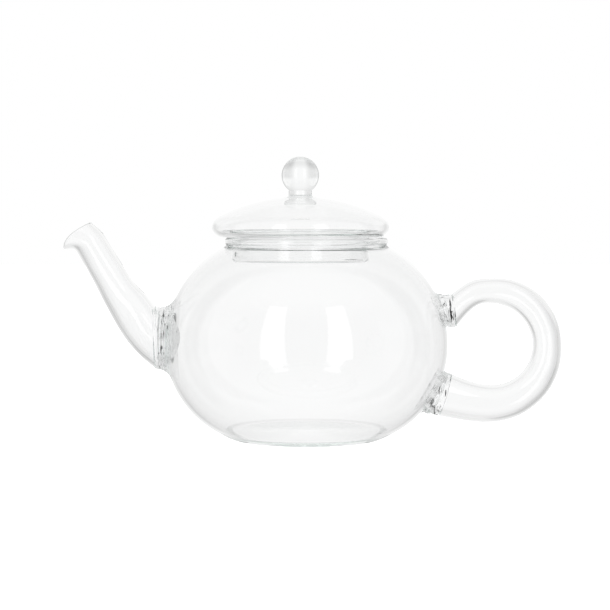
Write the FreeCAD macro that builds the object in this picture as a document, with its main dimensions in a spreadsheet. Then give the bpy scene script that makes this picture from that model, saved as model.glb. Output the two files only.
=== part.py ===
import FreeCAD, Part
import math
import os
import re
import Sketcher

# Glass teapot, in millimetres. The pot stands on the XY plane with its bowl's axis on +Z.
# The spout points to -X and the ring handle to +X. The lid sits in the neck, loose.

DIMENSIONS = {
    # bowl: three arcs from the flat foot to the neck, with a thick floor
    "bowl_radius": 63.5,
    "bowl_level": 42.4,
    "foot_arc": 82.5,
    "belly_arc": 44.5,
    "shoulder_arc": 49.2,
    "wall": 1.8,
    "floor_thickness": 3.2,
    "neck_radius": 35.9,
    "bead_level": 88.6,
    "bead_radius": 1.6,
    # round port in the bowl's wall, with the strainer in it and the spout over it
    "port_radius": 11.4,
    "port_level": 45.2,
    "strainer_tip": 56.6,
    "strainer_sphere": 14.0,
    "strainer_wall": 1.5,
    "strainer_hole": 1.3,
    "strainer_pitch": 2.3,
    # spout
    "spout_wall": 1.5,
    "weld_depth": 12.0,
    # handle: the tube's middle follows a ring between its two ends on the bowl
    "ring_x": 83.1,
    "ring_level": 41.2,
    "ring_radius": 25.4,
    "tube_top": 5.65,
    "tube_side": 6.5,
    "tube_bottom": 8.0,
    "tube_wall": 1.4,
    # lid: crown and rolled edge above, cup with the seat below, ball knob on a short stem
    "lid_shift": -2.3,
    "lid_radius": 39.7,
    "lid_wall": 1.6,
    "crown_top": 108.5,
    "crown_arc": 79.5,
    "edge_arc": 5.5,
    "seat_level": 90.3,
    "plug_radius": 30.6,
    "plug_bottom": 79.2,
    "plug_corner": 3.0,
    "plug_fillet": 1.0,
    "vent_radius": 1.0,
    "vent_level": 83.4,
    "vent_turn": 199.0,
    "stem_radius": 5.2,
    "stem_foot_radius": 6.9,
    "stem_foot_level": 105.0,
    "stem_flare": 1.7,
    "knob_radius": 8.4,
    "knob_level": 118.0,
}

# Oval cross-sections of the bent tubes, each square to the XZ plane: x of the middle, its level,
# the tilt of the section's long axis from level, its half length and its half width.
SECTIONS = {
    # spout, from its root on the bowl to the lip, which is drawn out forward
    "spout_root": (-67.0, 45.2, 90.0, 14.0, 14.0),
    "spout_flare": (-74.3, 52.5, 79.0, 12.9, 12.9),
    "spout_knee": (-81.2, 61.4, 64.0, 9.9, 9.9),
    "spout_throat": (-86.2, 70.1, 46.0, 8.1, 8.1),
    "spout_neck": (-90.9, 78.4, 34.0, 7.35, 7.35),
    "spout_top": (-96.2, 87.6, 29.5, 7.1, 7.1),
    "spout_lip": (-101.3, 91.0, 35.0, 8.6, 6.9),
    # ends of the handle's tube
    "upper_end": (66.3, 57.5, 97.5, 7.6, 6.6),
    "upper_bend": (70.9, 62.1, 106.0, 6.1, 5.9),
    "lower_bend": (72.5, 17.1, -97.0, 9.0, 8.6),
    "lower_end": (62.35, 19.85, -107.3, 9.9, 9.0),
    # far sides of the three welds, inside the bowl's outline
    "pour_root": (-57.0, 42.8, 90.0, 18.2, 16.2),
    "upper_root": (55.5, 59.6, 104.0, 9.2, 8.4),
    "lower_root": (51.0, 22.0, -120.0, 12.2, 11.0),
}
SECTION_WORDS = ("x", "level", "tilt", "length", "width")

# The strainer has a middle hole and rings of 6, 12, 18 and 24. The handle's ring has a section
# at each of these turns, in degrees above +X.
STRAINER_RINGS = 4
HOLES_PER_RING = 6
RING_TURNS = range(105, -91, -39)

doc = FreeCAD.newDocument("teapot")
sheet = doc.addObject("Spreadsheet::Sheet", "Sheet")
cells = dict(DIMENSIONS)


def fill_sheet():
    for name, sizes in SECTIONS.items():
        for word, size in zip(SECTION_WORDS, sizes):
            cells[f"{name}_{word}"] = size
    for row, (alias, value) in enumerate(cells.items(), start=1):
        sheet.set(f"A{row}", alias)
        sheet.set(f"B{row}", str(value))
        sheet.setAlias(f"B{row}", alias)
    doc.recompute()


def formula(text):
    """An expression over the sheet: each word that is an alias gets the sheet's name."""
    words = re.compile(r"[a-z][a-z_]*")
    return words.sub(lambda m: "Sheet." + m[0] if m[0] in cells else m[0], str(text))


def number(text):
    return float(sheet.evalExpression(formula(text)))


def bind(thing, prop, text):
    thing.setExpression(prop, formula(text))


def place(thing, x="0", y="0", z="0", axis=(0, 1, 0), turn=None):
    """Puts a primitive at a point given by expressions, turned about an axis."""
    base = FreeCAD.Vector(number(x), number(y), number(z))
    angle = number(turn) if turn is not None else 0.0
    thing.Placement = FreeCAD.Placement(base, FreeCAD.Rotation(FreeCAD.Vector(*axis), angle))
    bind(thing, "Placement.Base.x", x)
    bind(thing, "Placement.Base.y", y)
    bind(thing, "Placement.Base.z", z)
    if turn is not None:
        bind(thing, "Placement.Rotation.Angle", turn)


def shape(kind, name, **sizes):
    thing = doc.addObject("Part::" + kind, name)
    for prop, text in sizes.items():
        bind(thing, prop, text)
    return thing


def cut(name, base, tool):
    thing = doc.addObject("Part::Cut", name)
    thing.Base = base
    thing.Tool = tool
    return thing


def fuse(name, base, tool):
    thing = doc.addObject("Part::Fuse", name)
    thing.Base = base
    thing.Tool = tool
    return thing


def origin_plane(body, role):
    return [feature for feature in body.Origin.OriginFeatures if feature.Role == role][0]


def new_sketch(body, name, role):
    sketch = body.newObject("Sketcher::SketchObject", name)
    sketch.AttachmentSupport = (origin_plane(body, role), [""])
    sketch.MapMode = "FlatFace"
    return sketch


def bind_rule(sketch, label, text, *rule):
    index = sketch.addConstraint(Sketcher.Constraint(*rule))
    sketch.renameConstraint(index, label)
    bind(sketch, "Constraints." + label, text)


def hold_point(sketch, label, geometry, point, x, y):
    """Ties a point to its two expressions; a zero ties it to the axis instead."""
    for kind, text, axis in (("DistanceX", x, -2), ("DistanceY", y, -1)):
        if text == "0":
            sketch.addConstraint(Sketcher.Constraint("PointOnObject", geometry, point, axis))
        else:
            bind_rule(sketch, label + kind[-1], text, kind, -1, 1, geometry, point, number(text))


def arc_between(start, end, radius, side):
    """The short arc from start to end; side +1 bends to the left, -1 to the right."""
    chord = end - start
    across = FreeCAD.Vector(-chord.y, chord.x, 0).normalize()
    height = math.sqrt(radius ** 2 - (chord.Length / 2) ** 2)
    centre = (start + end) * 0.5 + across * (height * side)
    angles = [math.atan2(p.y - centre.y, p.x - centre.x) for p in (start, end)]
    if side < 0:
        angles.reverse()
    circle = Part.Circle(centre, FreeCAD.Vector(0, 0, 1), radius)
    return Part.ArcOfCircle(circle, *angles)


def draw_outline(sketch, outline):
    """A closed outline of (x, y) or (x, y, radius, side), where the radius bends the next edge."""
    points = [FreeCAD.Vector(number(row[0]), number(row[1]), 0) for row in outline]
    ends = []
    for index, row in enumerate(outline):
        start = points[index]
        end = points[(index + 1) % len(points)]
        if len(row) == 2:
            edge = sketch.addGeometry(Part.LineSegment(start, end), False)
            ends.append((edge, 1, 2))
        else:
            edge = sketch.addGeometry(arc_between(start, end, number(row[2]), row[3]), False)
            ends.append((edge, 1, 2) if row[3] > 0 else (edge, 2, 1))
    for (edge, first, last), (following, start, _) in zip(ends, ends[1:] + ends[:1]):
        sketch.addConstraint(Sketcher.Constraint("Coincident", edge, last, following, start))
    for index, row in enumerate(outline):
        edge, first, _ = ends[index]
        hold_point(sketch, f"p{index}", edge, first, row[0], row[1])
        if len(row) > 2:
            bind_rule(sketch, f"r{index}", row[2], "Radius", edge, number(row[2]))


def turned(name, outline):
    """A body of revolution about its own Z axis."""
    body = doc.addObject("PartDesign::Body", name)
    sketch = new_sketch(body, name + "_outline", "XZ_Plane")
    draw_outline(sketch, outline)
    lathe = body.newObject("PartDesign::Revolution", name + "_turned")
    lathe.Profile = sketch
    lathe.ReferenceAxis = (sketch, ["V_Axis"])
    lathe.Angle = 360
    sketch.Visibility = False
    return body


def oval(name, x, level, tilt, length, width):
    """One cross-section of a tube: long axis in the XZ plane, raised by tilt from level."""
    ring = shape("Ellipse", name, MajorRadius=length, MinorRadius=width)
    place(ring, x, "0", level, (0, -1, 0), tilt)
    return ring


def section(skin, name, inset="0"):
    """A section that the sheet holds, made smaller all round by an inset."""
    x, level, tilt, length, width = [f"{name}_{word}" for word in SECTION_WORDS]
    return oval(f"{skin}_{name}", x, level, tilt, f"{length} - {inset}", f"{width} - {inset}")


def loft(name, sections):
    skin = doc.addObject("Part::Loft", name)
    skin.Sections = sections
    skin.Solid = True
    return skin


# ---------------------------------------------------------------- pot

def bowl_outline(inset, bottom, top):
    """The bowl's profile moved inwards by an inset, from a flat bottom to a flat top."""
    rise = "sqrt((foot_arc - belly_arc)^2 - (bowl_radius - belly_arc)^2)"
    foot = f"(foot_arc - {inset})"
    share = f"{foot} / (foot_arc - belly_arc)"
    shoulder_x = "(bowl_radius - shoulder_arc)"
    neck = f"(neck_radius - {inset})"
    shoulder = f"(shoulder_arc - {inset})"
    return [
        ("0", bottom),
        (f"sqrt({foot}^2 - (bowl_level + {rise} - {bottom})^2)", bottom, foot, 1),
        (f"(bowl_radius - belly_arc) * {share}", f"bowl_level + {rise} * (1 - {share})",
         f"belly_arc - {inset}", 1),
        (f"bowl_radius - {inset}", "bowl_level", shoulder, 1),
        (neck, f"bowl_level + sqrt({shoulder}^2 - ({neck} - {shoulder_x})^2)"),
        (neck, top),
        ("0", top),
    ]


def make_bowl():
    form = turned("bowl_form", bowl_outline("0", "0", "bead_level"))
    hollow = turned("bowl_hollow", bowl_outline("wall", "floor_thickness", "bead_level + 1"))
    shell = cut("bowl_shell", form, hollow)
    bead = shape("Torus", "rim_bead", Radius1="neck_radius - wall / 2", Radius2="bead_radius")
    place(bead, z="bead_level")
    rimmed = fuse("bowl_rimmed", shell, bead)
    port = shape("Cylinder", "port_hole", Radius="port_radius", Height="bowl_radius / 2")
    place(port, "-1.2 * bowl_radius", "0", "port_level", (0, 1, 0), "90")
    return cut("bowl", rimmed, port), form


def make_strainer():
    """A dome pushed in through the port, pierced by rings of small holes."""
    inner = "(strainer_sphere - strainer_wall)"
    body = turned("strainer", [
        ("0", inner, inner, -1),
        ("port_radius", f"sqrt({inner}^2 - port_radius^2)"),
        ("port_radius", "sqrt(strainer_sphere^2 - port_radius^2)", "strainer_sphere", 1),
        ("0", "strainer_sphere"),
    ])
    sketch = new_sketch(body, "strainer_holes", "XY_Plane")
    add_hole(sketch, 0, "0", "0")
    for ring in range(1, STRAINER_RINGS + 1):
        count = HOLES_PER_RING * ring
        for index in range(count):
            turn = 360 * index / count + 5 * ring
            add_hole(sketch, ring, f"strainer_pitch * {ring} * cos({turn})",
                     f"strainer_pitch * {ring} * sin({turn})")
    holes = body.newObject("PartDesign::Pocket", "strainer_pierced")
    holes.Profile = sketch
    holes.Type = 1
    holes.Midplane = True
    place(body, "0 - strainer_tip - strainer_sphere", "0", "port_level", (0, 1, 0), "90")
    return body


def add_hole(sketch, ring, x, y):
    centre = FreeCAD.Vector(number(x), number(y), 0)
    circle = Part.Circle(centre, FreeCAD.Vector(0, 0, 1), number("strainer_hole / 2"))
    edge = sketch.addGeometry(circle, False)
    hold_point(sketch, f"hole{edge}", edge, 3, x, y)
    bind_rule(sketch, f"size{edge}", "strainer_hole / 2", "Radius", edge, number("strainer_hole / 2"))


def spout_skin(name, inset):
    rows = [row for row in SECTIONS if row.startswith("spout_")]
    return loft(name, [section(name, row, inset) for row in rows])


def make_spout():
    return cut("spout", spout_skin("spout_outside", "0"), spout_skin("spout_bore", "spout_wall"))


def make_spout_weld(form):
    """The collar of fused glass between the spout's root and the bowl, around the port."""
    collar = weld_block("spout_collar", "spout_root", "pour_root")
    bore = shape("Cylinder", "collar_bore", Radius="port_radius", Height="weld_depth * 2")
    place(bore, "spout_root_x - weld_depth / 2", "0", "port_level", (0, 1, 0), "90")
    return cut("spout_weld", cut("spout_collar_open", collar, bore), form)


def weld_block(name, near, far):
    return loft(name, [section(name, near), section(name, far)])


def ring_section(skin, turn, inset):
    """A round section on the handle's ring; the tube thickens from its top to its bottom."""
    share = min(abs(turn) / 90, 1)
    thick = "tube_top" if turn > 0 else "tube_bottom"
    radius = f"tube_side + ({thick} - tube_side) * {share} - {inset}"
    x = f"ring_x + ring_radius * cos({turn})"
    level = f"ring_level + ring_radius * sin({turn})"
    return oval(f"{skin}_ring_{turn % 360}", x, level, str(turn), radius, radius)


def handle_skin(name, inset):
    sections = [section(name, "upper_end", inset), section(name, "upper_bend", inset)]
    sections += [ring_section(name, turn, inset) for turn in RING_TURNS]
    sections += [section(name, "lower_bend", inset), section(name, "lower_end", inset)]
    return loft(name, sections)


def make_handle():
    return cut("handle", handle_skin("handle_outside", "0"), handle_skin("handle_bore", "tube_wall"))


def make_handle_weld(side, form):
    """Solid glass that joins one end of the handle to the bowl."""
    name = f"handle_{side}_weld"
    return cut(name, weld_block(name + "_block", f"{side}_end", f"{side}_root"), form)


# ---------------------------------------------------------------- lid

def crown_height(radius, inset="0"):
    return f"crown_top - crown_arc + sqrt((crown_arc - {inset})^2 - ({radius})^2)"


def edge_level():
    """The lid's widest level: the middle of the edge arc, which is tangent to the crown."""
    return "(crown_top - crown_arc + sqrt((crown_arc - edge_arc)^2 - (lid_radius - edge_arc)^2))"


def lid_part(name, outline):
    body = turned(name, outline)
    place(body, "lid_shift")
    return body


def make_lid_dome():
    """The crown with its rolled edge and flat seat; a hole for the stem's foot, another for the plug."""
    crown_base = "(crown_top - crown_arc)"
    roll = f"({edge_level()} - seat_level)"
    seat_edge = f"lid_radius - {roll}"
    sides = []
    for inset, side in (("0", -1), ("lid_wall", 1)):
        share = f"(crown_arc - {inset}) / (crown_arc - edge_arc)"
        inner = ("stem_foot_radius", crown_height("stem_foot_radius", inset))
        blend = (f"(lid_radius - edge_arc) * {share}",
                 f"{crown_base} + ({edge_level()} - {crown_base}) * {share}")
        widest = (f"lid_radius - {inset}", edge_level())
        crown = (f"crown_arc - {inset}", side)
        edge = (f"edge_arc - {inset}", side)
        under = (f"{roll} - {inset}", side)
        seat = (seat_edge, f"seat_level + {inset}")
        if side < 0:
            sides += [inner + crown, blend + edge, widest + under, seat]
        else:
            sides += [seat + under, widest + edge, blend + crown, inner]
    cup_edge = "plug_radius + plug_fillet"
    joint = [(cup_edge, "seat_level"), (cup_edge, "seat_level + lid_wall")]
    return lid_part("lid_dome", sides[:4] + joint + sides[4:])


def make_lid_plug():
    """The closed cup that drops into the neck, flared at its top where it meets the seat."""
    cup_edge = "plug_radius + plug_fillet"
    inner_plug = "plug_radius - lid_wall"
    inner_corner = "plug_corner - lid_wall"
    cup = lid_part("lid_cup", [
        ("0", "plug_bottom"),
        ("plug_radius - plug_corner", "plug_bottom", "plug_corner", 1),
        ("plug_radius", "plug_bottom + plug_corner"),
        ("plug_radius", "seat_level - plug_fillet", "plug_fillet", -1),
        (cup_edge, "seat_level"),
        (cup_edge, "seat_level + lid_wall"),
        (inner_plug, "seat_level + lid_wall"),
        (inner_plug, "plug_bottom + plug_corner", inner_corner, -1),
        ("plug_radius - plug_corner", "plug_bottom + lid_wall"),
        ("0", "plug_bottom + lid_wall"),
    ])
    vent = shape("Cylinder", "vent_drill", Radius="vent_radius", Height="plug_corner * 2")
    reach = "(plug_radius - plug_corner)"
    place(vent, f"lid_shift + {reach} * cos(vent_turn)", f"{reach} * sin(vent_turn)", "vent_level")
    vent.Placement.Rotation = FreeCAD.Rotation(FreeCAD.Vector(0, 0, 1), vent_direction())
    return cut("lid_plug", cup, vent)


def vent_direction():
    turn = math.radians(number("vent_turn"))
    return FreeCAD.Vector(math.cos(turn), math.sin(turn), 0)


def make_lid_stem():
    """A short stem, flared into the foot that is welded through the crown."""
    return lid_part("lid_knob_stem", [
        ("0", "stem_foot_level"),
        ("stem_foot_radius", "stem_foot_level"),
        ("stem_foot_radius", crown_height("stem_foot_radius"), "stem_flare * 1.05", -1),
        ("stem_radius", crown_height("stem_foot_radius") + " + stem_flare * 0.9"),
        ("stem_radius", "knob_level - sqrt(knob_radius^2 - stem_radius^2)"),
        ("0", "knob_level - sqrt(knob_radius^2 - stem_radius^2)"),
    ])


def make_lid_knob():
    """A glass ball, cut flat where the stem meets it."""
    knob = shape("Sphere", "lid_knob", Radius="knob_radius",
                 Angle1="-acos(stem_radius / knob_radius)")
    place(knob, "lid_shift", "0", "knob_level")
    return knob


# ---------------------------------------------------------------- checks and files

def check_document():
    for thing in doc.Objects:
        if {"Invalid", "Error"} & set(thing.State):
            raise RuntimeError(f"{thing.Name} did not compute: {thing.State}")


def check_node(node):
    if node.Shape.isNull() or not node.Shape.isValid():
        raise RuntimeError(f"{node.Label} has no valid shape")
    if not node.Shape.Solids:
        raise RuntimeError(f"{node.Label} has no solid")


def check_cut(name, before, after):
    if not after.Shape.Volume < before.Shape.Volume - 1:
        raise RuntimeError(f"{name} took nothing away")


def build():
    fill_sheet()
    bowl, form = make_bowl()
    nodes = [
        bowl,
        make_strainer(),
        make_spout(),
        make_spout_weld(form),
        make_handle(),
        make_handle_weld("upper", form),
        make_handle_weld("lower", form),
        make_lid_dome(),
        make_lid_plug(),
        make_lid_stem(),
        make_lid_knob(),
    ]
    doc.recompute()
    return nodes


nodes = build()
check_document()
check_cut("the port", doc.getObject("bowl_rimmed"), doc.getObject("bowl"))
check_cut("the strainer's holes", doc.getObject("strainer_turned"), doc.getObject("strainer_pierced"))
check_cut("the vent", doc.getObject("lid_cup"), doc.getObject("lid_plug"))
os.makedirs("parts", exist_ok=True)
for node in nodes:
    check_node(node)
    node.Shape.exportStep(f"parts/{node.Label}.step")
    print(node.Label, len(node.Shape.Solids), round(node.Shape.Volume, 1))
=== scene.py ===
import math

import bpy
import numpy as np
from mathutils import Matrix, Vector


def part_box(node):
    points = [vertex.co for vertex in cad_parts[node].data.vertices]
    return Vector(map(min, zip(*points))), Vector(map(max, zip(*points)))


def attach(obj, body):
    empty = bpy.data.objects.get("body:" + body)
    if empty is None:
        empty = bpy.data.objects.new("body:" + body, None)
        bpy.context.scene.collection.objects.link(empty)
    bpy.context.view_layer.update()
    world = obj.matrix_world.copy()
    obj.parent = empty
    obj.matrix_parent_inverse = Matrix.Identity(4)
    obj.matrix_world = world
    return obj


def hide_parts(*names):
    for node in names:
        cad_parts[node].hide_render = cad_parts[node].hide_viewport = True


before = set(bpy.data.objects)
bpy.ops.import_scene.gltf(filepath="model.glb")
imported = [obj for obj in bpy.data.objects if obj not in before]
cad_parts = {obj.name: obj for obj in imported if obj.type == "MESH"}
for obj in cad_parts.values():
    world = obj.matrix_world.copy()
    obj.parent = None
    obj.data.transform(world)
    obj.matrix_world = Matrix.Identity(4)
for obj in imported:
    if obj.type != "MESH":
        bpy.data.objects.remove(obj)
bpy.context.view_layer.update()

# Clear glass teapot, modelled in millimetres and placed in metres. Each glass piece is a closed mesh
# that stands for one CAD node. The bowl's axis is +Z, the spout points to -X, the handle to +X.

MM = 0.001
GAP = 0.03          # air left between two pieces of glass that touch
TURNS = 256         # segments round the bowl and the lid
SHARP_ANGLE = 40    # degrees above which an edge stays sharp

# ---------------------------------------------------------------- places, from the CAD nodes


def low(node):
    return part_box(node)[0] / MM


def high(node):
    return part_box(node)[1] / MM


def middle(node):
    return (low(node) + high(node)) / 2


# ---------------------------------------------------------------- outlines


def arc(centre, radius, start, stop, step=0.2):
    """Points on a circle, between two angles in degrees."""
    count = max(3, math.ceil(abs(math.radians(stop - start)) * radius / step))
    angles = np.radians(np.linspace(start, stop, count + 1))
    return np.column_stack([centre[0] + radius * np.cos(angles),
                            centre[1] + radius * np.sin(angles)])


def even(points, step):
    """The same line with points at even steps along it."""
    lengths = np.hypot(*np.diff(points, axis=0).T)
    keep = np.concatenate([[True], lengths > 1e-6])
    points = points[keep]
    along = np.concatenate([[0], np.cumsum(np.hypot(*np.diff(points, axis=0).T))])
    spots = np.linspace(0, along[-1], max(3, int(along[-1] / step)))
    return np.column_stack([np.interp(spots, along, points[:, k]) for k in (0, 1)])


def bell(blur, step):
    """A normal curve's weights at even steps, and how many steps it reaches."""
    reach = int(4 * blur / step)
    weights = np.exp(-0.5 * (np.arange(-reach, reach + 1) * step / blur) ** 2)
    return reach, weights / weights.sum()


def smeared(line, weights):
    """The line's two columns, each blurred by the weights."""
    return np.column_stack([np.convolve(line[:, k], weights, "valid") for k in (0, 1)])


def softened(points, blur, step=0.05):
    """Rounds the corners of an outline that starts and ends on the axis."""
    line = even(np.vstack(points), step)
    reach, weights = bell(blur, step)
    mirror = np.array([-1, 1])
    longer = np.vstack([line[reach:0:-1] * mirror, line, line[-2:-reach - 2:-1] * mirror])
    out = smeared(longer, weights)
    out[0, 0] = 0
    out[-1, 0] = 0
    return out


def thinned(line, turn=3.0, longest=1.4):
    """Keeps a point wherever the line has turned by some degrees or run some way."""
    step = np.diff(line, axis=0)
    heading = np.degrees(np.unwrap(np.arctan2(step[:, 1], step[:, 0])))
    length = np.hypot(*step.T)
    kept = [0]
    turned, run = 0.0, 0.0
    for index in range(1, len(line) - 1):
        turned += abs(heading[index] - heading[index - 1])
        run += length[index - 1]
        if turned >= turn or run >= longest:
            kept.append(index)
            turned, run = 0.0, 0.0
    kept.append(len(line) - 1)
    return line[kept]


# ---------------------------------------------------------------- meshes


def mesh_piece(name, points, faces):
    """An object from points in millimetres."""
    mesh = bpy.data.meshes.new(name)
    mesh.from_pydata((np.asarray(points) * MM).tolist(), [], faces)
    mesh.validate()
    mesh.shade_smooth()
    mesh.set_sharp_from_angle(angle=math.radians(SHARP_ANGLE))
    piece = bpy.data.objects.new(name, mesh)
    bpy.context.scene.collection.objects.link(piece)
    return piece


def lathe(name, outline, centre, segments=TURNS):
    """A closed body turned round a vertical axis, from an outline with both ends on it."""
    ring = np.arange(segments) * 2 * math.pi / segments
    rows = outline[1:-1]
    points = [[centre[0], centre[1], outline[0][1]], [centre[0], centre[1], outline[-1][1]]]
    for radius, level in rows:
        points += np.column_stack([
            centre[0] + radius * np.cos(ring),
            centre[1] + radius * np.sin(ring),
            np.full(segments, level),
        ]).tolist()
    faces = []
    following = [(k + 1) % segments for k in range(segments)]
    for row in range(len(rows) - 1):
        a = 2 + row * segments
        b = a + segments
        faces += [(a + k, a + n, b + n, b + k) for k, n in enumerate(following)]
    last = 2 + (len(rows) - 1) * segments
    faces += [(0, 2 + n, 2 + k) for k, n in enumerate(following)]
    faces += [(1, last + k, last + n) for k, n in enumerate(following)]
    return mesh_piece(name, points, faces)


def wrapped(name, rows):
    """A closed body from rings of points, where the last ring joins on to the first."""
    rows = np.asarray(rows)
    count, segments = rows.shape[:2]
    faces = []
    for row in range(count):
        a = row * segments
        b = ((row + 1) % count) * segments
        for k in range(segments):
            n = (k + 1) % segments
            faces.append((a + k, b + k, b + n, a + n))
    return outward(mesh_piece(name, rows.reshape(-1, 3), faces))


def outward(piece):
    """Turns the faces so that they all look out."""
    mesh = piece.data
    mesh.calc_loop_triangles()
    spots = np.array([v.co for v in mesh.vertices])
    tris = np.array([t.vertices[:] for t in mesh.loop_triangles])
    a, b, c = spots[tris[:, 0]], spots[tris[:, 1]], spots[tris[:, 2]]
    if np.einsum("ij,ij->i", a, np.cross(b, c)).sum() < 0:
        mesh.flip_normals()
    return piece


def drilled(piece, tool):
    """Cuts a tool out of a piece, exactly, and drops the tool."""
    cut = piece.modifiers.new("cut", "BOOLEAN")
    cut.operation = "DIFFERENCE"
    cut.solver = "EXACT"
    cut.object = tool
    cut.use_hole_tolerant = False
    bpy.context.view_layer.update()
    shown = piece.evaluated_get(bpy.context.evaluated_depsgraph_get())
    mesh = bpy.data.meshes.new_from_object(shown)
    piece.modifiers.clear()
    piece.data = mesh
    mesh.shade_smooth()
    mesh.set_sharp_from_angle(angle=math.radians(SHARP_ANGLE))
    bpy.data.objects.remove(tool)
    return piece


def rod(centre, direction, radius, length, segments=48):
    """Points and faces of a closed cylinder, about its middle."""
    along = np.array(Vector(direction).normalized())
    side = np.cross(along, [0.0, 1.0, 0.0])
    if np.linalg.norm(side) < 0.3:
        side = np.cross(along, [0.0, 0.0, 1.0])
    side /= np.linalg.norm(side)
    other = np.cross(along, side)
    ring = np.arange(segments) * 2 * math.pi / segments
    circle = radius * (np.outer(np.cos(ring), side) + np.outer(np.sin(ring), other))
    points = np.vstack([centre - along * length / 2 + circle, centre + along * length / 2 + circle])
    faces = [(k, (k + 1) % segments, segments + (k + 1) % segments, segments + k)
             for k in range(segments)]
    faces.append(tuple(range(segments))[::-1])
    faces.append(tuple(range(segments, 2 * segments)))
    return points, faces


def rods(name, list_of_rods):
    points, faces = [], []
    for spots, sides in list_of_rods:
        base = len(points)
        points += spots.tolist()
        faces += [tuple(base + k for k in side) for side in sides]
    return outward(mesh_piece(name, points, faces))


def finished(piece, body, node, material):
    piece.data.materials.clear()
    piece.data.materials.append(material)
    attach(piece, body)
    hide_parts(node)


# ---------------------------------------------------------------- uneven glass


def waves(points, size, height, seed):
    """A smooth uneven field over the points: sums of sine waves in random directions."""
    random = np.random.default_rng(seed)
    total = np.zeros(points.shape[:-1])
    for _ in range(7):
        direction = random.normal(size=3)
        direction *= 2 * math.pi / (size * random.uniform(0.7, 1.6) * np.linalg.norm(direction))
        total += np.sin(points @ direction + random.uniform(0, 2 * math.pi))
    return total * height / 7 ** 0.5


# ---------------------------------------------------------------- bowl

BOWL_RADIUS = 63.5
BOWL_LEVEL = 42.4
FOOT_ARC = 82.5
BELLY_ARC = 44.5
SHOULDER_ARC = 49.2
WALL = 1.8
FLOOR = 3.2
NECK_RADIUS = 35.9
BEAD_RADIUS = 1.6
BEAD_LEVEL = 88.6
PORT_RADIUS = 11.4
PORT_LEVEL = 45.2
# The foot's hollow underside: radius and height above the table.
PUNT = [(0.0, 0.5), (14.0, 0.38), (26.0, 0.12), (31.0, 0.01)]

axis = middle("bowl")
base = low("bowl").z
foot_rise = math.sqrt((FOOT_ARC - BELLY_ARC) ** 2 - (BOWL_RADIUS - BELLY_ARC) ** 2)
foot_centre = (0.0, base + BOWL_LEVEL + foot_rise)
belly_centre = (BOWL_RADIUS - BELLY_ARC, base + BOWL_LEVEL)
shoulder_centre = (BOWL_RADIUS - SHOULDER_ARC, base + BOWL_LEVEL)
blend_angle = math.degrees(math.atan2(-foot_rise, BOWL_RADIUS - BELLY_ARC))


def bowl_side(inset, bottom):
    """The wall from the bottom up to the neck, moved in by an inset."""
    foot = FOOT_ARC - inset
    start = -90 + math.degrees(math.acos((foot_centre[1] - bottom) / foot))
    neck = NECK_RADIUS - inset - shoulder_centre[0]
    stop = math.degrees(math.acos(neck / (SHOULDER_ARC - inset)))
    return np.vstack([
        arc(foot_centre, foot, start, blend_angle),
        arc(belly_centre, BELLY_ARC - inset, blend_angle, 0),
        arc(shoulder_centre, SHOULDER_ARC - inset, 0, stop),
    ])


def bowl_outline():
    bead_centre = (NECK_RADIUS - WALL / 2, base + BEAD_LEVEL)
    meet = math.degrees(math.acos(WALL / 2 / BEAD_RADIUS))
    outline = [
        np.array(PUNT) + [0, base],
        bowl_side(0, base),
        arc(bead_centre, BEAD_RADIUS, -meet, 180 + meet),
        bowl_side(WALL, base + FLOOR)[::-1],
        np.array([[0.0, base + FLOOR]]),
    ]
    return thinned(softened(outline, 0.45))


outer_side = bowl_side(0, base)
outer_side = outer_side[np.argsort(outer_side[:, 1])]


def bowl_reach(level):
    """The bowl's outer radius at a level."""
    return np.interp(level, outer_side[:, 1], outer_side[:, 0])


def make_bowl():
    bowl = outward(lathe("bowl_glass", bowl_outline(), axis))
    spot = np.array([axis.x - BOWL_RADIUS, axis.y, base + PORT_LEVEL])
    port = rod(spot, (1, 0, 0), PORT_RADIUS + GAP, 30, 96)
    return drilled(bowl, rods("port_tool", [port]))


# ---------------------------------------------------------------- bent tubes

# Sections from an anchor: (away from it, above it, tilt of the long axis, half length, half width).
# The spout's anchor is the bottom of its root.
SPOUT = [
    (0.0, 14.0, 90.0, 14.0, 14.0),
    (-7.3, 21.3, 79.0, 12.9, 12.9),
    (-14.2, 30.2, 64.0, 9.9, 9.9),
    (-19.2, 38.9, 46.0, 8.1, 8.1),
    (-23.9, 47.2, 34.0, 7.35, 7.35),
    (-29.2, 56.4, 29.5, 7.1, 7.1),
]
SPOUT_WALL = 1.5
LIP_WALL = 1.25
LIP_STEPS = 25      # rings from the tube's end to the lip
LIP_PULL = 1.1      # how far the tube runs on before it turns to the lip
# The lip's middle line, from its back edge to its beak, seen from the side, and its half width.
LIP = [(-28.8, 65.6), (-34.0, 62.8), (-39.7, 59.6), (-40.75, 53.9)]
LIP_WIDTH = 6.8

# The handle's anchor is its lowest level, below the farthest point of its ring.
RING = (-31.9, 33.4, 25.4)
TUBE_TOP, TUBE_SIDE, TUBE_BOTTOM = 5.65, 6.5, 8.4
TUBE_WALL = 1.4
TUBE_WALL_GROWTH = 0.7      # how much thicker the wall is at the lower end
RING_SWELL = 0.35           # extra half thickness in the ring's upper quarter
RING_REACH = 0.45           # extra ring radius there
UPPER_END = [(-48.7, 49.7, 97.5, 7.6, 6.6), (-44.1, 54.3, 106.0, 6.1, 5.9)]
LOWER_END = [(-42.5, 9.3, -97.0, 9.0, 8.6), (-52.65, 12.05, -107.3, 9.9, 9.0)]


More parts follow.
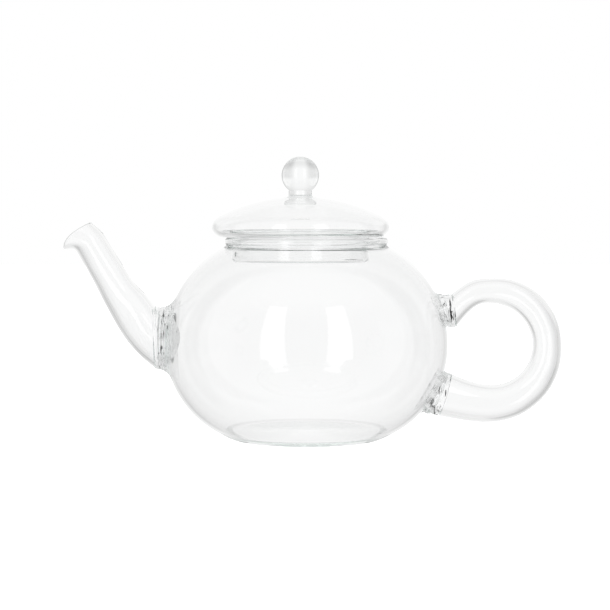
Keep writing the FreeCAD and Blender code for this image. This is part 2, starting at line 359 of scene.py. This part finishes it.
def spline(values, spots, wanted):
    """A natural cubic curve through rows of values."""
    values = np.asarray(values, float)
    spots = np.asarray(spots, float)
    count = len(spots)
    gaps = np.diff(spots)
    matrix = np.eye(count)
    right = np.zeros(values.shape)
    for k in range(1, count - 1):
        matrix[k, k - 1:k + 2] = gaps[k - 1], 2 * (gaps[k - 1] + gaps[k]), gaps[k]
        ahead = (values[k + 1] - values[k]) / gaps[k]
        behind = (values[k] - values[k - 1]) / gaps[k - 1]
        right[k] = 6 * (ahead - behind)
    bend = np.linalg.solve(matrix, right)
    index = np.clip(np.searchsorted(spots, wanted) - 1, 0, count - 2)
    gap = gaps[index][:, None]
    a = ((spots[index + 1] - wanted)[:, None]) / gap
    b = 1 - a
    return (a * values[index] + b * values[index + 1]
            + ((a ** 3 - a) * bend[index] + (b ** 3 - b) * bend[index + 1]) * gap ** 2 / 6)


def tube_rings(sections, anchor, count, around=96):
    """Rings of points along a tube given by its sections."""
    sections = np.asarray(sections, float)
    spots = np.concatenate([[0], np.cumsum(np.hypot(*np.diff(sections[:, :2], axis=0).T))])
    rows = spline(sections, spots, np.linspace(0, spots[-1], count))
    turn = np.arange(around) * 2 * math.pi / around
    tilt = np.radians(rows[:, 2])[:, None]
    along = rows[:, 3:4] * np.cos(turn)
    x = anchor[0] + rows[:, 0:1] + along * np.cos(tilt)
    z = anchor[2] + rows[:, 1:2] + along * np.sin(tilt)
    y = anchor[1] + rows[:, 4:5] * np.sin(turn)
    return np.stack([x, y, z], axis=-1)


def grid_normals(rings):
    """Outward normals of a tube given by rings."""
    along = np.gradient(rings, axis=0)
    around = np.roll(rings, -1, axis=1) - np.roll(rings, 1, axis=1)
    normal = np.cross(along, around)
    normal /= np.linalg.norm(normal, axis=-1, keepdims=True)
    away = rings - rings.mean(axis=1, keepdims=True)
    if (normal * away).sum() < 0:
        normal = -normal
    return normal


def handle_sections():
    ring_x, ring_level, ring_radius = RING
    rows = list(UPPER_END)
    for turn in range(105, -91, -13):
        share = min(abs(turn) / 90, 1)
        thick = TUBE_TOP if turn > 0 else TUBE_BOTTOM
        angle = math.radians(turn)
        bulge = max(0.0, math.sin(2 * angle)) if 0 < turn < 90 else 0.0
        radius = TUBE_SIDE + (thick - TUBE_SIDE) * share + RING_SWELL * bulge
        reach = ring_radius + RING_REACH * bulge
        rows.append((ring_x + reach * math.cos(angle), ring_level + reach * math.sin(angle),
                     turn, radius, radius))
    return rows + LOWER_END


def make_handle():
    anchor = (high("handle").x, middle("handle").y, low("handle").z)
    rings = tube_rings(handle_sections(), anchor, 200)
    normals = grid_normals(rings)
    skin = rings + normals * (waves(rings, 22, 0.02, 3)[..., None] - 0.02)
    wall = TUBE_WALL + TUBE_WALL_GROWTH * np.linspace(0, 1, len(rings)) ** 2
    bore = rings - normals * (wall[:, None, None] + waves(rings, 14, 0.03, 4)[..., None])
    return wrapped("handle_tube", np.vstack([skin[1:-1], bore[1:-1][::-1]]))


def lip_ring(anchor, around=96):
    """The lip's edge: an oval loop that rises to the back and droops at the beak."""
    turn = np.arange(around) * 2 * math.pi / around
    share = (1 - np.cos(turn))[:, None] / 2
    p = [np.array(point) for point in LIP]
    side = ((1 - share) ** 3 * p[0] + 3 * (1 - share) ** 2 * share * p[1]
            + 3 * (1 - share) * share ** 2 * p[2] + share ** 3 * p[3])
    return np.stack([anchor[0] + side[:, 0], anchor[1] + LIP_WIDTH * np.sin(turn),
                     anchor[2] + side[:, 1]], axis=-1)


def make_spout():
    anchor = (high("spout").x, middle("spout").y, low("spout").z)
    body = tube_rings(SPOUT, anchor, 110)
    lip = lip_ring(anchor)
    last, before = body[-1], body[-5]
    reach = np.linalg.norm(lip - last, axis=-1, keepdims=True)
    heading = (last - before) / np.linalg.norm(last - before, axis=-1, keepdims=True)
    out = lip - last
    steps = np.linspace(0, 1, LIP_STEPS + 1)[1:, None, None]
    start = heading * reach * LIP_PULL
    h00 = 2 * steps ** 3 - 3 * steps ** 2 + 1
    h10 = steps ** 3 - 2 * steps ** 2 + steps
    h01 = -2 * steps ** 3 + 3 * steps ** 2
    h11 = steps ** 3 - steps ** 2
    upper = h00 * last + h10 * start + h01 * lip + h11 * out
    rings = np.vstack([body, upper])
    normals = grid_normals(rings)
    wall = np.full(len(rings), SPOUT_WALL)
    wall[-LIP_STEPS - 1:] = np.linspace(SPOUT_WALL, LIP_WALL, LIP_STEPS + 1)
    skin = rings + normals * (waves(rings, 18, 0.02, 5)[..., None] - 0.02)
    bore = rings - normals * (wall[:, None, None] + waves(rings, 12, 0.03, 6)[..., None])
    ahead = rings[-1] - rings[-2]
    ahead /= np.linalg.norm(ahead, axis=-1, keepdims=True)
    centre = (skin[-1] + bore[-1]) / 2
    half = (skin[-1] - bore[-1]) / 2
    size = np.linalg.norm(half, axis=-1, keepdims=True)
    rim = [centre + half * math.cos(a) + ahead * size * math.sin(a)
           for a in np.radians(np.arange(22.5, 180, 22.5))]
    return wrapped("spout_tube", np.vstack([skin[1:], rim, bore[1:][::-1]]))


# ---------------------------------------------------------------- welds


def on_bowl(spots, side, lift):
    """Moves points along X until they lie just off the bowl's outside."""
    out = spots.copy()
    reach = bowl_reach(spots[..., 2]) + lift
    across = spots[..., 1] - axis.y
    out[..., 0] = axis.x + side * np.sqrt(np.maximum(reach ** 2 - across ** 2, 1))
    return out


def bezier(p0, p1, p2, p3, steps):
    t = steps[:, None, None]
    return (1 - t) ** 3 * p0 + 3 * (1 - t) ** 2 * t * p1 + 3 * (1 - t) * t ** 2 * p2 + t ** 3 * p3


def oval_ring(x, level, tilt, length, width, y, around=128):
    turn = np.arange(around) * 2 * math.pi / around
    angle = math.radians(tilt)
    along = length * np.cos(turn)
    return np.stack([x + along * math.cos(angle), y + width * np.sin(turn),
                     level + along * math.sin(angle)], axis=-1)


def weld_ring(name, side, end, root, *, wall, edge, bulge, tuck, ripple, count, fade, seed):
    """A fillet of fused glass from a tube's end to the bowl.

    end and root are oval sections: x, level, tilt, half length and half width. wall is the
    thickness at the tube, edge the width of the foot on the bowl, bulge and tuck bend the
    outside and the inside, and ripple, count and fade set the folds along it.
    """
    y = axis.y
    x, level, tilt, length, width = end
    away = np.array([math.sin(math.radians(tilt)), 0.0, -math.cos(math.radians(tilt))])
    if away[0] * side < 0:
        away = -away
    outer_end = oval_ring(x, level, tilt, length, width, y) - away * GAP
    inner_end = oval_ring(x, level, tilt, length - wall, width - wall, y) - away * GAP
    rx, rlevel, rtilt, rlength, rwidth = root
    outer_root = on_bowl(oval_ring(rx, rlevel, rtilt, rlength, rwidth, y), side, GAP)
    inner_root = on_bowl(oval_ring(rx, rlevel, rtilt, rlength - edge, rwidth - edge, y), side, GAP)
    steps = np.linspace(0, 1, 44)
    reach = np.linalg.norm(outer_root - outer_end, axis=-1, keepdims=True)
    skirt = outer_root - inner_root
    skirt /= np.linalg.norm(skirt, axis=-1, keepdims=True)
    outer = bezier(outer_end, outer_end - away * reach * 0.45,
                   outer_root - skirt * reach * bulge, outer_root, steps)
    inner_reach = np.linalg.norm(inner_root - inner_end, axis=-1, keepdims=True)
    inner = bezier(inner_root, inner_root - skirt * tuck * inner_reach,
                   inner_end - away * inner_reach * 0.5, inner_end, steps)
    foot = outer_root + (inner_root - outer_root) * np.linspace(0, 1, 8)[1:-1, None, None]
    foot = on_bowl(foot, side, GAP)
    face = inner_end + (outer_end - inner_end) * np.linspace(0, 1, 6)[1:-1, None, None]
    rough = (np.sin(steps * math.pi) * (1 - steps) ** fade)[:, None, None]
    bands = np.sin(steps * math.pi * count)[:, None, None] * ripple
    away_out = outer - (outer_end.mean(axis=0) + outer_root.mean(axis=0)) / 2
    away_out /= np.linalg.norm(away_out, axis=-1, keepdims=True)
    outer = outer + away_out * rough * (bands + waves(outer, 6, ripple * 1.2, seed)[..., None])
    return wrapped(name, np.vstack([outer, foot, inner, face]))


def make_spout_weld():
    anchor = (high("spout").x, middle("spout").y, low("spout").z)
    end = (anchor[0], anchor[2] + 14.0, 90.0, 14.0, 14.0)
    root = (anchor[0] + 4.8, anchor[2] + 13.2, 90.0, 19.6, 17.5)
    return weld_ring("spout_weld_glass", -1, end, root, wall=1.7, edge=1.6, bulge=0.45, tuck=0.4,
                     ripple=0.34, count=11, fade=2, seed=11)


def make_upper_weld():
    anchor = (high("handle").x, middle("handle").y, low("handle").z)
    x, level, tilt, length, width = UPPER_END[0]
    end = (anchor[0] + x, anchor[2] + level, tilt, length, width)
    root = (anchor[0] + x - 5, anchor[2] + level + 1.0, 101.0, length + 0.8, width + 0.9)
    return weld_ring("handle_upper_weld_glass", 1, end, root, wall=1.9, edge=3.4, bulge=0.2,
                     tuck=0.1, ripple=0.2, count=5, fade=0, seed=12)


def make_lower_weld():
    anchor = (high("handle").x, middle("handle").y, low("handle").z)
    x, level, tilt, length, width = LOWER_END[1]
    end = (anchor[0] + x, anchor[2] + level, tilt, length, width)
    root = (anchor[0] + x - 6, anchor[2] + level + 1.2, -113.0, length + 1.0, width + 1.0)
    return weld_ring("handle_lower_weld_glass", 1, end, root, wall=2.4, edge=4.3, bulge=0.2,
                     tuck=0.1, ripple=0.2, count=6, fade=0, seed=13)


# ---------------------------------------------------------------- strainer

STRAINER_SPHERE = 14.0
STRAINER_WALL = 1.5
STRAINER_HOLE = 1.3
STRAINER_PITCH = 2.3
STRAINER_RINGS = 4


def strainer_holes():
    """Directions of the holes from the dome's centre, as (angle off the axis, turn)."""
    rows = [(0.0, 0.0)]
    for ring in range(1, STRAINER_RINGS + 1):
        angle = math.asin(STRAINER_PITCH * ring / STRAINER_SPHERE)
        for index in range(6 * ring):
            rows.append((angle, math.radians(360 * index / (6 * ring) + 5 * ring)))
    return rows


def make_strainer():
    centre = np.array([high("strainer").x - STRAINER_SPHERE, middle("strainer").y,
                       middle("strainer").z])
    holes = np.array([[math.cos(a), math.sin(a) * math.cos(t), math.sin(a) * math.sin(t)]
                      for a, t in strainer_holes()])
    around, rings = 200, 60
    turn = np.arange(around) * 2 * math.pi / around
    edge = PORT_RADIUS - GAP

    def shell(radius, rim):
        angle = np.linspace(0, math.asin(edge / radius), rings + 1)[1:, None]
        ways = np.stack([np.cos(angle) * np.ones(around), np.sin(angle) * np.cos(turn),
                         np.sin(angle) * np.sin(turn)], axis=-1)
        nearest = np.arccos(np.clip((ways @ holes.T).max(axis=-1), -1, 1)) * radius
        collar = rim * np.exp(-((nearest - STRAINER_HOLE / 2) / 0.26) ** 2)
        keep = np.clip((math.asin(edge / radius) - angle) * radius / 0.6, 0, 1)
        return centre + ways * (radius + collar * keep)[..., None]

    outer = shell(STRAINER_SPHERE - 0.35, 0.33)
    inner = shell(STRAINER_SPHERE - STRAINER_WALL, -0.12)
    wall = outer[-1] + (inner[-1] - outer[-1]) * np.linspace(0, 1, 6)[1:-1, None, None]
    rows = np.vstack([outer, wall, inner[::-1]])
    points = rows.reshape(-1, 3).tolist()
    faces = []
    for row in range(len(rows) - 1):
        a, b = row * around, (row + 1) * around
        faces += [(a + k, b + k, b + (k + 1) % around, a + (k + 1) % around)
                  for k in range(around)]
    tip = len(points)
    points.append((centre + [STRAINER_SPHERE - 0.3, 0, 0]).tolist())
    points.append((centre + [STRAINER_SPHERE - STRAINER_WALL, 0, 0]).tolist())
    last = (len(rows) - 1) * around
    faces += [(tip, k, (k + 1) % around) for k in range(around)]
    faces += [(tip + 1, last + (k + 1) % around, last + k) for k in range(around)]
    dome = outward(mesh_piece("strainer_glass", points, faces))
    pins = [rod(centre + way * (STRAINER_SPHERE - 0.7), way, STRAINER_HOLE / 2, 5, 20)
            for way in holes]
    return drilled(dome, rods("strainer_tools", pins))


# ---------------------------------------------------------------- lid

LID_RADIUS = 39.7
LID_WALL = 1.6
CROWN_RISE = 18.2       # crown's top above the seat
CROWN_ARC = 79.5
EDGE_ARC = 5.5
SEAT_THINNING = 0.5     # share of the wall left at the seat's inner edge
PLUG_RADIUS = 30.6
PLUG_CORNER = 2.0
PLUG_FLOOR = 1.0
PLUG_FILLET = 1.0
PLUG_WAIST = 0.35
PLUG_HOLLOW = 0.6       # fillet inside the plug's corner
VENT_RADIUS = 1.0
VENT_RISE = 3.5         # vent's middle above the plug's bottom
VENT_TURN = 201.0
STEM_RADIUS = 5.2
FOOT_RADIUS = 6.9
KNOB_RADIUS = 8.4

lid_axis = middle("lid_dome")
seat = low("lid_dome").z
crown_centre = (0.0, seat + CROWN_RISE - CROWN_ARC)
edge_rise = math.sqrt((CROWN_ARC - EDGE_ARC) ** 2 - (LID_RADIUS - EDGE_ARC) ** 2)
edge_centre = (LID_RADIUS - EDGE_ARC, crown_centre[1] + edge_rise)
edge_angle = math.degrees(math.atan2(edge_rise, LID_RADIUS - EDGE_ARC))
roll = edge_centre[1] - seat
roll_centre = (LID_RADIUS - roll, edge_centre[1])
cup_edge = PLUG_RADIUS + PLUG_FILLET


def ring_lathe(name, outline, centre, segments=TURNS):
    """A closed ring turned round a vertical axis."""
    turn = np.arange(segments) * 2 * math.pi / segments
    rows = [np.column_stack([centre[0] + r * np.cos(turn), centre[1] + r * np.sin(turn),
                             np.full(segments, z)]) for r, z in outline]
    return wrapped(name, rows)


def looped(points, blur, step=0.05, turn=3.0, longest=1.4):
    """Rounds the corners of a closed outline."""
    points = np.vstack(points)
    line = even(np.vstack([points, points[:1]]), step)[:-1]
    reach, weights = bell(blur, step)
    longer = np.vstack([line[-reach:], line, line[:reach]])
    return thinned(smeared(longer, weights), turn, longest)


def eased(points, blur, step=0.1):
    """Evens out the curvature along a line and keeps its two ends."""
    line = even(points, step)
    reach, weights = bell(blur, step)
    before = 2 * line[0] - line[reach:0:-1]
    after = 2 * line[-1] - line[-2:-reach - 2:-1]
    longer = np.vstack([before, line, after])
    return smeared(longer, weights)


def make_lid_dome():
    outline = []
    for inset in (0.0, LID_WALL):
        start = 90 - math.degrees(math.asin((FOOT_RADIUS + GAP) / (CROWN_ARC - inset)))
        part = eased(np.vstack([
            arc(crown_centre, CROWN_ARC - inset, start, edge_angle),
            arc(edge_centre, EDGE_ARC - inset, edge_angle, 0),
            arc(roll_centre, roll - inset, 0, -90),
            [[cup_edge + GAP, seat + inset * SEAT_THINNING]],
        ]), 1.3)
        outline.append(part if inset == 0 else part[::-1])
    return ring_lathe("lid_dome_glass", looped(outline, 0.22), lid_axis)


def make_lid_plug():
    bottom = low("lid_plug").z
    top = high("lid_plug").z
    inside = PLUG_RADIUS - LID_WALL
    corner = (PLUG_RADIUS - PLUG_CORNER, bottom + PLUG_CORNER)
    levels = np.linspace(bottom + PLUG_CORNER, seat - PLUG_FILLET, 40)
    share = (levels - levels[0]) / (levels[-1] - levels[0])
    waist = PLUG_WAIST * np.sin(share * math.pi) ** 2
    outline = [
        np.array([[0.0, bottom]]),
        arc(corner, PLUG_CORNER, -90, 0),
        np.column_stack([PLUG_RADIUS - waist, levels]),
        arc((cup_edge, seat - PLUG_FILLET), PLUG_FILLET, 180, 90),
        np.array([[cup_edge, top], [inside, top]]),
        np.column_stack([inside - waist, levels])[::-1],
        arc((inside - PLUG_HOLLOW, bottom + PLUG_FLOOR + PLUG_HOLLOW), PLUG_HOLLOW, 0, -90),
        np.array([[0.0, bottom + PLUG_FLOOR]]),
    ]
    plug = outward(lathe("lid_plug_glass", thinned(softened(outline, 0.2)), lid_axis))
    angle = math.radians(VENT_TURN)
    way = np.array([math.cos(angle), math.sin(angle), 0.0])
    spot = np.array([lid_axis.x, lid_axis.y, bottom + VENT_RISE]) + way * PLUG_RADIUS
    return drilled(plug, rods("vent_tool", [rod(spot, way, VENT_RADIUS, 8, 32)]))


def make_stem():
    bottom = low("lid_knob_stem").z
    top = high("lid_knob_stem").z - GAP
    crown = crown_centre[1] + math.sqrt(CROWN_ARC ** 2 - FOOT_RADIUS ** 2)
    outline = [
        np.array([[0.0, bottom], [FOOT_RADIUS, bottom], [FOOT_RADIUS - 0.02, bottom + 1.2],
                  [FOOT_RADIUS - 0.4, crown - 1.0], [FOOT_RADIUS - 0.45, crown]]),
        arc((STEM_RADIUS + 1.2, crown + 1.25), 1.2, 265, 180),
        np.array([[STEM_RADIUS, top], [0.0, top]]),
    ]
    return outward(lathe("lid_stem_glass", thinned(softened(outline, 0.18)), lid_axis, 128))


def make_knob():
    centre = (0.0, high("lid_knob").z - KNOB_RADIUS)
    start = -math.degrees(math.acos(STEM_RADIUS / KNOB_RADIUS))
    outline = [np.array([[0.0, low("lid_knob").z]]), arc(centre, KNOB_RADIUS, start, 90)]
    return outward(lathe("lid_knob_glass", thinned(softened(outline, 0.12), 2.5, 0.8), lid_axis, 160))


# ---------------------------------------------------------------- materials


class Nodes:
    """Short ways to add and join shader nodes."""

    def __init__(self, tree):
        self.tree = tree

    def add(self, kind, **values):
        node = self.tree.nodes.new(kind)
        for key, value in values.items():
            setattr(node, key, value)
        return node

    def join(self, source, target):
        self.tree.links.new(source, target)

    def put(self, socket, value):
        if isinstance(value, bpy.types.NodeSocket):
            self.join(value, socket)
        else:
            socket.default_value = value

    def math(self, operation, *values):
        node = self.add("ShaderNodeMath", operation=operation)
        for socket, value in zip(node.inputs, values):
            self.put(socket, value)
        return node.outputs[0]

    def times(self, one, other):
        return self.math("MULTIPLY", one, other)

    def rest(self, share):
        """What is left of 1 after a share."""
        return self.math("SUBTRACT", 1.0, share)

    def ramp(self, value, low_in, high_in, low_out, high_out):
        """A smooth step from one value to another."""
        node = self.add("ShaderNodeMapRange")
        node.interpolation_type = "SMOOTHSTEP"
        for socket, item in zip(node.inputs, (value, low_in, high_in, low_out, high_out)):
            self.put(socket, item)
        return node.outputs[0]

    def window(self, value, low_edge, high_edge, low_soft, high_soft):
        """1 between two edges and 0 outside them."""
        rise = self.ramp(value, low_edge - low_soft, low_edge + low_soft, 0, 1)
        fall = self.ramp(value, high_edge - high_soft, high_edge + high_soft, 1, 0)
        return self.times(rise, fall)


CLEAR = (0.992, 0.994, 0.994)
BOROSILICATE_IOR = 1.473
DEPTH_COLOUR = (0.975, 0.99, 0.985, 1)
# Near-black painted shade, for the dark dots and lines put into the strainer's and the weld's colour.
PAINTED_SHADE_COLOUR = (0.02, 0.02, 0.02, 1)


def new_material(name):
    material = bpy.data.materials.new(name)
    material.use_nodes = True
    material.node_tree.nodes.clear()
    return material, Nodes(material.node_tree)


def glass(name, tint, stretch, striae, depth, dense, seed, shade_specks=0.0, shade_streaks=False):
    """Clear glass with faint drawn striae, a little green in its depth.

    The last two arguments add painted shade to the colour: near-black dots and lines that stand in
    for dark refractions too fine for the mesh to make.
    """
    material, n = new_material(name)
    place = n.add("ShaderNodeTexCoord").outputs["Object"]
    mapping = n.add("ShaderNodeMapping")
    n.join(place, mapping.inputs["Vector"])
    mapping.inputs["Scale"].default_value = stretch
    mapping.inputs["Location"].default_value = (seed * 0.37, seed * 0.11, seed * 0.23)
    drawn = n.add("ShaderNodeTexNoise")
    n.join(mapping.outputs[0], drawn.inputs["Vector"])
    drawn.inputs["Scale"].default_value = striae
    drawn.inputs["Detail"].default_value = 2.0
    fine = n.add("ShaderNodeTexNoise")
    n.join(place, fine.inputs["Vector"])
    fine.inputs["Scale"].default_value = 900.0
    fine.inputs["Detail"].default_value = 1.0
    bump = n.add("ShaderNodeBump")
    bump.inputs["Strength"].default_value = 1.0
    bump.inputs["Distance"].default_value = depth
    n.join(drawn.outputs["Fac"], bump.inputs["Height"])
    shader = n.add("ShaderNodeBsdfPrincipled")
    mix = n.add("ShaderNodeMix", data_type="RGBA")
    n.join(drawn.outputs["Fac"], mix.inputs["Factor"])
    mix.inputs["A"].default_value = (*tint, 1)
    mix.inputs["B"].default_value = (1.0, 1.0, 1.0, 1)
    colour = mix.outputs["Result"]
    painted_shade_mask = None
    # Painted shade: near-black dots at the middles of cells, standing in for the dark refractions at
    # the strainer's holes.
    if shade_specks:
        cells = n.add("ShaderNodeTexVoronoi")
        n.join(place, cells.inputs["Vector"])
        cells.inputs["Scale"].default_value = shade_specks
        painted_shade_mask = n.ramp(cells.outputs["Distance"], 0.13, 0.2, 0.0, 1.0)
    # Painted shade: near-black lines where the drawn noise runs low, standing in for the dark
    # refractions in the weld's folds.
    if shade_streaks:
        painted_shade_mask = n.ramp(drawn.outputs["Fac"], 0.33, 0.39, 0.0, 1.0)
    # Mixes the painted shade into the glass colour: near-black where the mask is low.
    if painted_shade_mask is not None:
        dark = n.add("ShaderNodeMix", data_type="RGBA")
        n.join(painted_shade_mask, dark.inputs["Factor"])
        dark.inputs["A"].default_value = PAINTED_SHADE_COLOUR
        n.join(colour, dark.inputs["B"])
        colour = dark.outputs["Result"]
    n.join(colour, shader.inputs["Base Color"])
    n.join(n.ramp(fine.outputs["Fac"], 0.35, 0.75, 0.0, 0.006), shader.inputs["Roughness"])
    n.join(bump.outputs[0], shader.inputs["Normal"])
    shader.inputs["IOR"].default_value = BOROSILICATE_IOR
    shader.inputs["Transmission Weight"].default_value = 1.0
    volume = n.add("ShaderNodeVolumeAbsorption")
    volume.inputs["Color"].default_value = DEPTH_COLOUR
    volume.inputs["Density"].default_value = dense
    out = n.add("ShaderNodeOutputMaterial")
    n.join(shader.outputs[0], out.inputs["Surface"])
    n.join(volume.outputs[0], out.inputs["Volume"])
    return material


# ---------------------------------------------------------------- studio


# Strengths of the tent's zones.
FRONT_LOW, FRONT_STEEP = 0.62, 0.8      # front, at eye level and high or low
EDGE_SHADE = 0.24                       # towards the sides of the white back
CORNER_SHADE = 0.08                     # low corners of the back
SIDE_SHADE = 0.45                       # straight left and right
STRIP_LIGHT = 1.1                       # the two strips in front
STRIP_FOOT = 0.6                        # share of it in the strips' lower part


def tent_material():
    """A soft light tent: white behind the object, light grey in front with two tall strips, and
    a little darker at the sides and below. Angles are in degrees from the back and the horizon."""
    material, n = new_material("tent_light")
    place = n.add("ShaderNodeTexCoord").outputs["Object"]
    unit = n.add("ShaderNodeVectorMath", operation="NORMALIZE")
    n.join(place, unit.inputs[0])
    split = n.add("ShaderNodeSeparateXYZ")
    n.join(unit.outputs[0], split.inputs[0])
    x, y, z = split.outputs
    to_degrees = 180 / math.pi
    turn = n.times(n.math("ARCTAN2", x, y), to_degrees)
    lift = n.times(n.math("ARCSINE", z), to_degrees)
    wide = n.math("ABSOLUTE", turn)
    front = n.ramp(wide, 75, 130, 0.0, 1.0)
    steep = n.math("ABSOLUTE", lift)
    near = n.ramp(steep, 25, 50, FRONT_LOW, FRONT_STEEP)
    above = n.times(n.ramp(lift, 5, 20, 1.0, 0.96), n.ramp(lift, 22, 55, 1.0, 0.86))
    edges = n.times(n.ramp(wide, 8, 26, 0.0, EDGE_SHADE), n.ramp(lift, 4, 13, 1.0, 0.2))
    corners = n.times(n.window(wide, 22, 75, 12, 10), n.window(lift, -62, -16, 10, 8))
    sides = n.times(n.window(wide, 64, 84, 4, 2), n.window(lift, -45, 70, 10, 15))
    back = n.times(above, n.rest(edges))
    back = n.times(back, n.rest(n.times(corners, CORNER_SHADE)))
    back = n.times(back, n.ramp(lift, -26, -8, 0.85, 1.0))
    value = n.math("ADD", n.times(back, n.rest(front)), n.times(front, near))
    value = n.times(value, n.rest(n.times(sides, SIDE_SHADE)))
    upper = n.times(n.window(wide, 143, 161, 1.0, 1.0), n.window(lift, -10, 43, 1.5, 1.5))
    lower = n.times(n.window(wide, 152, 161, 1.0, 1.0), n.window(lift, -23, -10, 1.5, 1.5))
    strips = n.math("ADD", upper, n.times(lower, STRIP_FOOT))
    value = n.math("ADD", value, n.times(strips, STRIP_LIGHT))
    emission = n.add("ShaderNodeEmission")
    n.join(value, emission.inputs["Strength"])
    out = n.add("ShaderNodeOutputMaterial")
    n.join(emission.outputs[0], out.inputs["Surface"])
    material.cycles.emission_sampling = "NONE"
    return material


def floor_material():
    """Pale matt paper that is lit evenly."""
    material, n = new_material("pale_floor")
    place = n.add("ShaderNodeTexCoord").outputs["Object"]
    grain = n.add("ShaderNodeTexNoise")
    n.join(place, grain.inputs["Vector"])
    grain.inputs["Scale"].default_value = 60.0
    shader = n.add("ShaderNodeBsdfPrincipled")
    tone = n.ramp(grain.outputs["Fac"], 0.3, 0.7, 0.86, 0.9)
    n.join(tone, shader.inputs["Base Color"])
    shader.inputs["Roughness"].default_value = 0.9
    shader.inputs["Emission Color"].default_value = (1.0, 1.0, 1.0, 1)
    shader.inputs["Emission Strength"].default_value = 1.0
    out = n.add("ShaderNodeOutputMaterial")
    n.join(shader.outputs[0], out.inputs["Surface"])
    material.cycles.emission_sampling = "NONE"
    return material


CAMERA_DISTANCE = 0.846
CAMERA_HEIGHT = 0.1040
CAMERA_SHIFT = -0.0002
CAMERA_PITCH = 2.98
LENS = 111.4
TENT_RADIUS = 4000.0
TENT_LEVEL = 0.05       # the tent's middle above the table, in metres
FLOOR_SIZE = 2500.0
FLOOR_DROP = 0.0002     # keeps the floor just clear of the foot, in metres


def make_camera():
    data = bpy.data.cameras.new("camera")
    data.sensor_width = 36.0
    data.lens = LENS
    data.dof.use_dof = False
    data.clip_start = 0.01
    data.clip_end = 100.0
    camera = bpy.data.objects.new("camera", data)
    bpy.context.scene.collection.objects.link(camera)
    camera.location = (CAMERA_SHIFT, -CAMERA_DISTANCE, low("bowl").z * MM + CAMERA_HEIGHT)
    camera.rotation_euler = (math.radians(90 - CAMERA_PITCH), 0, 0)
    bpy.context.scene.camera = camera


def make_tent():
    """The tent stands still round the object, whichever way the camera looks."""
    rows = [(TENT_RADIUS * math.sin(a), TENT_RADIUS * -math.cos(a))
            for a in np.linspace(0, math.pi, 65)]
    tent = lathe("light_tent", rows, (0, 0), 128)
    tent.location = (0, 0, TENT_LEVEL)
    tent.data.materials.append(tent_material())
    tent.visible_camera = False
    tent.visible_shadow = False


def make_floor():
    size = FLOOR_SIZE
    points = [(-size, -size, 0), (size, -size, 0), (size, size, 0), (-size, size, 0)]
    floor = mesh_piece("floor", points, [(0, 1, 2, 3)])
    floor.location.z = -FLOOR_DROP
    floor.data.materials.append(floor_material())
    floor.visible_glossy = False
    floor.visible_transmission = False
    floor.visible_shadow = False


def make_world():
    world = bpy.data.worlds.new("studio_white")
    world.use_nodes = True
    world.node_tree.nodes["Background"].inputs["Color"].default_value = (1, 1, 1, 1)
    world.cycles.sampling_method = "NONE"
    scene = bpy.context.scene
    scene.world = world
    scene.view_settings.view_transform = "Standard"
    scene.cycles.max_bounces = 96
    scene.cycles.transmission_bounces = 64
    scene.cycles.glossy_bounces = 64
    scene.cycles.transparent_max_bounces = 16
    scene.cycles.sample_clamp_indirect = 0.0
    scene.cycles.blur_glossy = 0.0


bowl_mat = glass("bowl_clear_glass", CLEAR, (1, 1, 0.5), 45, 0.00001, 26, 1)
tube_mat = glass("tube_clear_glass", CLEAR, (1, 1, 1), 60, 0.000012, 26, 2)
# The weld glass carries painted shade in its colour: near-black lines for dark refractions.
weld_mat = glass("weld_glass_painted_shade", (0.985, 0.99, 0.99), (1, 0.1, 0.15), 1000, 0.00006, 30, 3,
                 shade_streaks=True)
# The strainer glass carries painted shade in its colour: near-black dots for dark refractions.
strainer_mat = glass("strainer_glass_painted_shade", (0.98, 0.985, 0.985), (1, 1, 1), 700, 0.00008, 30, 4,
                     shade_specks=440.0)
lid_mat = glass("lid_clear_glass", CLEAR, (1, 1, 1), 50, 0.00001, 26, 5)
knob_mat = glass("knob_clear_glass", CLEAR, (1, 1, 0.4), 70, 0.000012, 26, 6)

finished(make_bowl(), "pot", "bowl", bowl_mat)
finished(make_strainer(), "pot", "strainer", strainer_mat)
finished(make_spout(), "pot", "spout", tube_mat)
finished(make_spout_weld(), "pot", "spout_weld", weld_mat)
finished(make_handle(), "pot", "handle", tube_mat)
finished(make_upper_weld(), "pot", "handle_upper_weld", weld_mat)
finished(make_lower_weld(), "pot", "handle_lower_weld", weld_mat)
finished(make_lid_dome(), "lid", "lid_dome", lid_mat)
finished(make_lid_plug(), "lid", "lid_plug", lid_mat)
finished(make_stem(), "lid", "lid_knob_stem", knob_mat)
finished(make_knob(), "lid", "lid_knob", knob_mat)

make_camera()
make_floor()
make_tent()
make_world()
